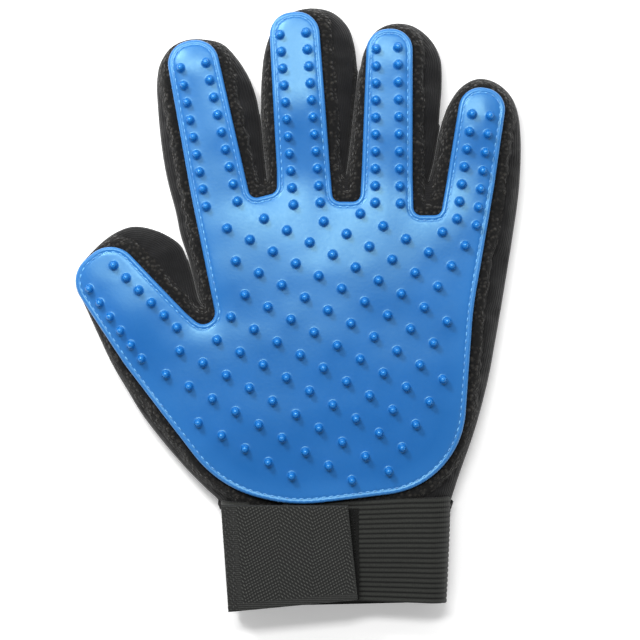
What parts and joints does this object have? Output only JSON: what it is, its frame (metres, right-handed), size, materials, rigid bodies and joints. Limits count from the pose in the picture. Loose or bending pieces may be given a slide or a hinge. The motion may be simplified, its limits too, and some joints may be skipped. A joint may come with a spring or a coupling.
{
  "type": "pet grooming glove",
  "caption": "Left-hand pet grooming glove: fabric body, blue rubber pad with nubs over palm and fingers, elastic cuff with a hook-and-loop wrist tab.",
  "frame": {"origin": "middle of the footprint, on the surface the back of the hand lies on", "axes": "+Y from the wrist to the fingertips, +X towards the little finger's side, +Z out of the rubber pad"},
  "size_m": [0.172, 0.2347, 0.0236],
  "materials": {
    "pad_rubber": "satin moulded thermoplastic rubber",
    "thread": "twisted polyester thread",
    "mesh_fabric": "matte sandwich mesh",
    "back_fabric": "matte sandwich mesh",
    "side_fabric": "matte fine-ribbed knit",
    "elastic": "matte ribbed elastic webbing",
    "seam_tape": "matte woven binding",
    "loop_pile": "fuzzy loop pile",
    "hook_tape": "moulded nylon hooks",
    "woven_tape": "herringbone woven tape"
  },
  "bodies": {
    "hand": {"pad_palm": "pad_rubber", "seam_palm": "thread", "mesh_palm": "mesh_fabric", "back_palm": "back_fabric", "gusset_little_side": "side_fabric", "gusset_thumb_side": "side_fabric", "gusset_thumb_web": "side_fabric", "finger_webs": "side_fabric", "wrist_elastic": "elastic", "cuff_seam_tape": "seam_tape", "loop_patch": "loop_pile", "tab_root": "woven_tape", "tab_stitching": "thread"},
    "index_finger": {"pad_index": "pad_rubber", "seam_index": "thread", "mesh_index": "mesh_fabric", "back_index": "back_fabric", "sidewall_index": "side_fabric"},
    "middle_finger": {"pad_middle": "pad_rubber", "seam_middle": "thread", "mesh_middle": "mesh_fabric", "back_middle": "back_fabric", "sidewall_middle": "side_fabric"},
    "ring_finger": {"pad_ring": "pad_rubber", "seam_ring": "thread", "mesh_ring": "mesh_fabric", "back_ring": "back_fabric", "sidewall_ring": "side_fabric"},
    "little_finger": {"pad_little": "pad_rubber", "seam_little": "thread", "mesh_little": "mesh_fabric", "back_little": "back_fabric", "sidewall_little": "side_fabric"},
    "thumb": {"pad_thumb": "pad_rubber", "seam_thumb": "thread", "mesh_thumb": "mesh_fabric", "back_thumb": "back_fabric", "sidewall_thumb": "side_fabric"},
    "tab": {"closure_tab": "woven_tape", "hook_patch": "hook_tape"}
  },
  "joints": [
    {"name": "index_flex", "type": "hinge", "parent": "hand", "child": "index_finger", "pos_m": [-0.0326, 0.0475, 0.0194], "axis": [0.9799, 0.1994, 0], "range_deg": [0, 80], "stiffness_Nm_per_rad": 0.004},
    {"name": "middle_flex", "type": "hinge", "parent": "hand", "child": "middle_finger", "pos_m": [0.00255, 0.0544, 0.0194], "axis": [0.9976, 0.0698, 0], "range_deg": [0, 80], "stiffness_Nm_per_rad": 0.004},
    {"name": "ring_flex", "type": "hinge", "parent": "hand", "child": "ring_finger", "pos_m": [0.0344, 0.05535, 0.0194], "axis": [0.9999, -0.0105, 0], "range_deg": [0, 80], "stiffness_Nm_per_rad": 0.004},
    {"name": "little_flex", "type": "hinge", "parent": "hand", "child": "little_finger", "pos_m": [0.0678, 0.0483, 0.0194], "axis": [0.9885, -0.1513, 0], "range_deg": [0, 80], "stiffness_Nm_per_rad": 0.004},
    {"name": "thumb_flex", "type": "hinge", "parent": "hand", "child": "thumb", "pos_m": [-0.0551, -0.0114, 0.0194], "axis": [0.766, 0.6428, 0], "range_deg": [0, 60], "stiffness_Nm_per_rad": 0.004},
    {"name": "tab_peel", "type": "hinge", "parent": "hand", "child": "tab", "pos_m": [-0.0246, -0.0968, 0.0201], "axis": [0, -1, 0], "range_deg": [0, 165]}
  ]
}
